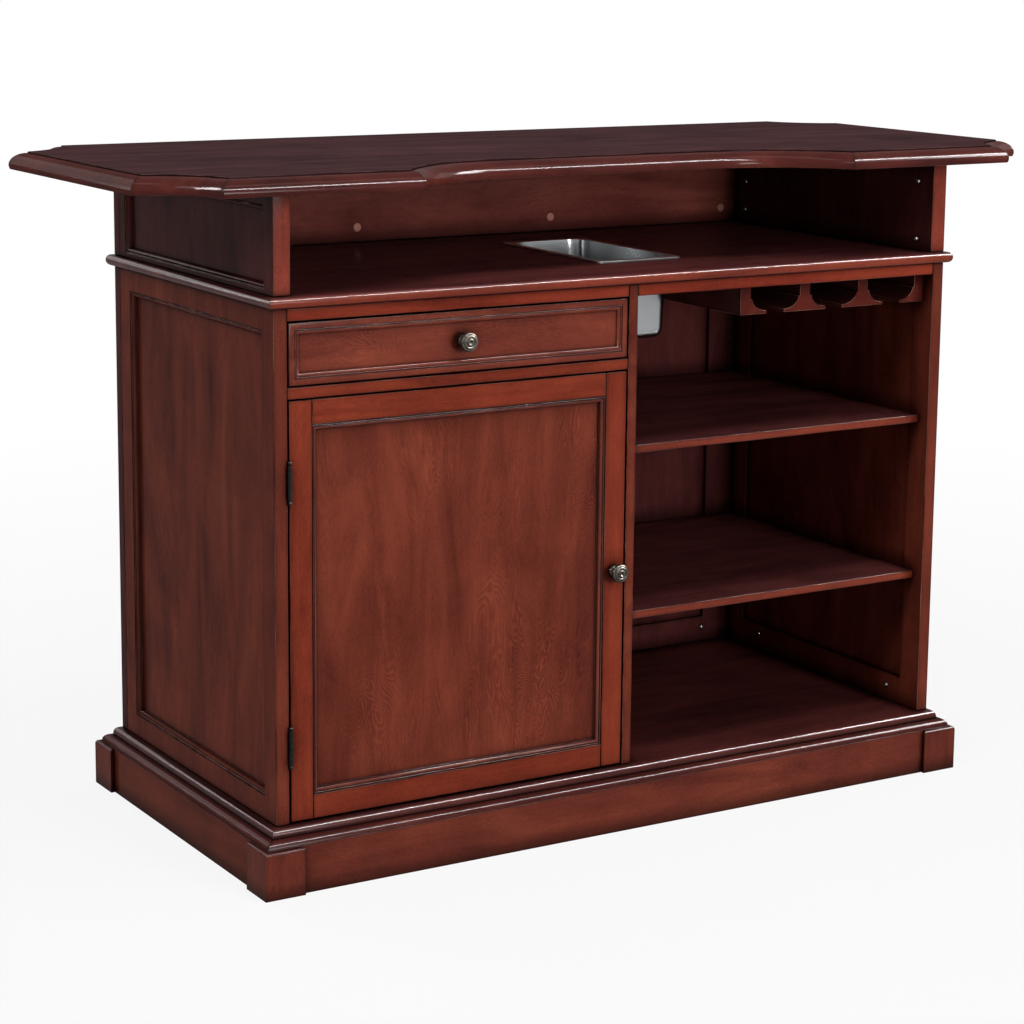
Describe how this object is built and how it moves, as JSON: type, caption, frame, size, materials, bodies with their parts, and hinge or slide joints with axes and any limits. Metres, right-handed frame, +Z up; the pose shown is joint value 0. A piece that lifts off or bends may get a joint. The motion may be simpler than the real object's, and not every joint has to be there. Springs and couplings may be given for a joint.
{
  "type": "home bar",
  "caption": "Free-standing home bar with a scalloped, recessed bar top, open counter level, drop-in ice bin, drawer, cupboard, open shelves and hanging stemware rails.",
  "frame": {"origin": "on the floor, under the middle of the overall box", "axes": "+X along the bar to the bartender's right, +Y from the bartender towards the guests, +Z up"},
  "size_m": [1.6262, 0.6732, 1.067],
  "materials": {
    "mahogany_body": "satin lacquer over red-brown stain, dark in the crevices",
    "mahogany_top": "darker purple-brown satin lacquer",
    "drawer_wood": "thin matt lacquer",
    "black_metal": "satin black",
    "antique_knob": "antique, dark in the grooves",
    "steel": "brushed stainless sheet"
  },
  "bodies": {
    "cabinet": {"bar_top_panel": "mahogany_top", "top_moulding_front_left": "mahogany_top", "top_moulding_front_right": "mahogany_top", "top_moulding_recess": "mahogany_top", "top_moulding_left": "mahogany_top", "top_moulding_right": "mahogany_top", "top_moulding_back": "mahogany_top", "top_moulding_corner_front_right": "mahogany_top", "top_moulding_corner_back_right": "mahogany_top", "top_moulding_corner_back_left": "mahogany_top", "top_moulding_corner_front_left": "mahogany_top", "upper_side_left": "mahogany_body", "upper_side_right": "mahogany_body", "upper_back": "mahogany_body", "counter_top": "mahogany_body", "side_frame_left": "mahogany_body", "side_frame_right": "mahogany_body", "side_panel_left": "mahogany_body", "side_panel_right": "mahogany_body", "lower_back": "mahogany_body", "centre_divider": "mahogany_body", "top_rail_left": "mahogany_body", "top_rail_right": "mahogany_body", "mid_rail": "mahogany_body", "shelf_upper": "mahogany_body", "shelf_lower": "mahogany_body", "stemware_rail_1": "mahogany_body", "stemware_rail_2": "mahogany_body", "stemware_rail_3": "mahogany_body", "stemware_rail_4": "mahogany_body", "drawer_runner_left": "drawer_wood", "drawer_runner_right": "drawer_wood", "hinge_upper_frame_leaf": "black_metal", "hinge_lower_frame_leaf": "black_metal", "base_panel": "mahogany_body", "plinth_front": "mahogany_body", "plinth_right": "mahogany_body", "plinth_back": "mahogany_body", "plinth_left": "mahogany_body", "corner_block_front_right": "mahogany_body", "corner_block_back_right": "mahogany_body", "corner_block_back_left": "mahogany_body", "corner_block_front_left": "mahogany_body"},
    "drawer": {"drawer_front": "mahogany_body", "drawer_side_left": "drawer_wood", "drawer_side_right": "drawer_wood", "drawer_back": "drawer_wood", "drawer_bottom": "drawer_wood", "drawer_knob": "antique_knob"},
    "door": {"door_stile_left": "mahogany_body", "door_stile_right": "mahogany_body", "door_rail_bottom": "mahogany_body", "door_rail_top": "mahogany_body", "door_panel": "mahogany_body", "door_moulding": "mahogany_body", "door_knob": "antique_knob", "hinge_upper_door_leaf": "black_metal", "hinge_lower_door_leaf": "black_metal"},
    "bin": {"ice_bin": "steel"}
  },
  "joints": [
    {"name": "drawer_slide", "type": "slide", "parent": "cabinet", "child": "drawer", "axis": [0, -1, 0], "range_m": [0, 0.3]},
    {"name": "door_hinge", "type": "hinge", "parent": "cabinet", "child": "door", "pos_m": [-0.59675, -0.2975, 0.42], "axis": [0, 0, -1], "range_deg": [0, 170]},
    {"name": "ice_bin_lift", "type": "slide", "parent": "cabinet", "child": "bin", "axis": [0, 0, 1], "range_m": [0, 0.14]}
  ]
}
